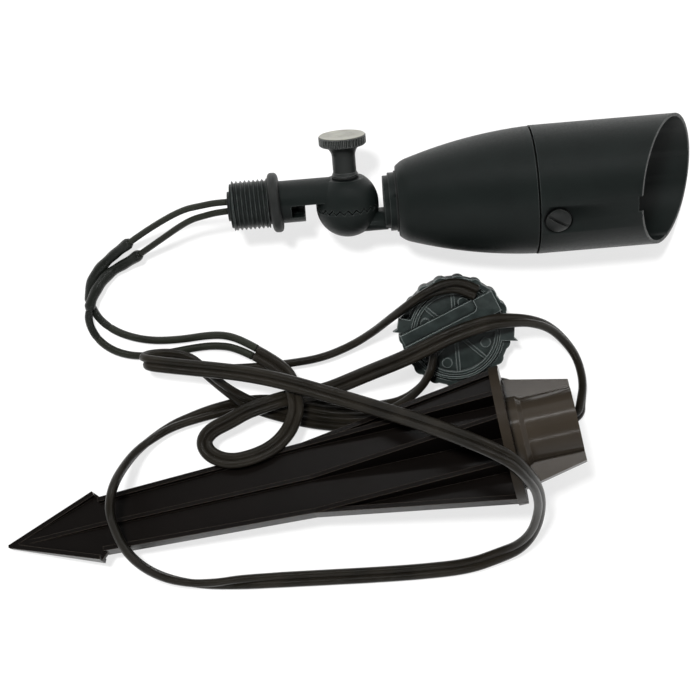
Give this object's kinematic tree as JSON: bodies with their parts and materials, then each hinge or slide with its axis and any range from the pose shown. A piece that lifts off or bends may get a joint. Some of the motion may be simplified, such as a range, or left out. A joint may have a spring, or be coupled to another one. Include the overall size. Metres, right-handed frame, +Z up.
{
  "type": "garden spike spotlight set",
  "caption": "Low-voltage bullet spotlight with tilting toothed knuckle and glare shroud, two-core lead with round quick connector, and loose ground stake.",
  "frame": {"origin": "on the table, under the middle of the bounding box of the lamp and the stake together", "axes": "+X to the right along the lamp, +Y across the table from the stake to the lamp, +Z up from the table"},
  "size_m": [0.2975, 0.2078, 0.0684],
  "materials": {
    "black_paint": "satin black powder coat with a faint green-grey cast",
    "grey_paint": "satin dark grey, worn brighter on the knurled top",
    "black_screw": "blackened steel, a little shinier than the shroud",
    "black_rubber": "matt black rubber",
    "brass": "plain turned brass",
    "steel": "plain stamped steel",
    "ceramic": "unglazed off-white ceramic",
    "reflector": "faceted coated glass",
    "clear_glass": "clear glass",
    "stake_plastic": "glossy dark brown moulded plastic",
    "connector_plastic": "dull dark grey-green moulded plastic",
    "cord_jacket": "flat two-core vinyl, dark brown",
    "lead_jacket": "greenish black vinyl",
    "sleeve": "black heat-shrink tubing"
  },
  "bodies": {
    "set": {"ground_stake": "stake_plastic", "stake_head": "stake_plastic", "knuckle_arm": "black_paint", "nipple_o_ring": "black_rubber", "wire_grommet": "black_rubber", "arm_leads": "lead_jacket", "connector_base": "connector_plastic", "connector_face": "connector_plastic", "connector_bar": "connector_plastic", "connector_latch": "connector_plastic", "fixture_lead_a": "lead_jacket", "fixture_lead_b": "lead_jacket", "splice_sleeve_a": "sleeve", "splice_sleeve_b": "sleeve", "end_sleeve_a": "sleeve", "end_sleeve_b": "sleeve", "lead_core_a": "lead_jacket", "lead_core_b": "lead_jacket", "lead_cord": "cord_jacket", "lead_tail": "cord_jacket"},
    "clamp_washer": {"thumb_washer": "steel"},
    "clamp_screw": {"thumb_screw": "grey_paint"},
    "head": {"head_knuckle": "black_paint", "knuckle_insert": "brass", "rear_gasket": "black_rubber", "lamp_body": "black_paint", "body_seal": "black_rubber", "socket_bracket": "steel", "bracket_screws": "steel", "lamp_socket": "ceramic", "socket_leads": "lead_jacket", "bulb_base": "ceramic", "bulb_pins": "steel", "bulb_reflector": "reflector", "bulb_cover": "clear_glass", "bulb_capsule": "clear_glass"},
    "lens_set": {"lens_glass": "clear_glass", "lens_gasket": "black_rubber", "lens_clip": "steel"},
    "shroud": {"glare_shroud": "black_paint"},
    "set_screw": {"shroud_screw": "black_screw"},
    "grip_ring": {"connector_ring": "connector_plastic"}
  },
  "joints": [
    {"name": "thumb_travel", "type": "slide", "parent": "set", "child": "clamp_washer", "axis": [-0.0793, 0.9363, 0.342], "range_m": [0, 0.003]},
    {"name": "thumb_turn", "type": "hinge", "parent": "clamp_washer", "child": "clamp_screw", "pos_m": [-0.00183, 0.06837, 0.0314], "axis": [-0.0793, 0.9363, 0.342], "range_deg": [0, 1080.5]},
    {"name": "head_tilt", "type": "hinge", "parent": "set", "child": "head", "pos_m": [-0.00088, 0.05713, 0.0273], "axis": [-0.0793, 0.9363, 0.342], "range_deg": [-90, 90]},
    {"name": "shroud_pull", "type": "slide", "parent": "head", "child": "lens_set", "axis": [0.9964, 0.0844, 0], "range_m": [0, 0.012]},
    {"name": "shroud_turn", "type": "hinge", "parent": "lens_set", "child": "shroud", "pos_m": [0.08412, 0.06433, 0.0273], "axis": [0.9964, 0.0844, 0], "range_deg": [-180, 180]},
    {"name": "set_screw_turn", "type": "hinge", "parent": "shroud", "child": "set_screw", "pos_m": [0.08412, 0.06433, 0.0273], "axis": [0.0484, -0.5715, 0.8192], "range_deg": [0, 720]},
    {"name": "grip_turn", "type": "hinge", "parent": "set", "child": "grip_ring", "pos_m": [0.0455, 0.0057, 0.00425], "axis": [0, -0.1908, 0.9816], "range_deg": [0, 60]}
  ],
  "couplings": [
    {"joint": "thumb_turn", "follows": "thumb_travel", "rad_per_m": 6283.2}
  ]
}
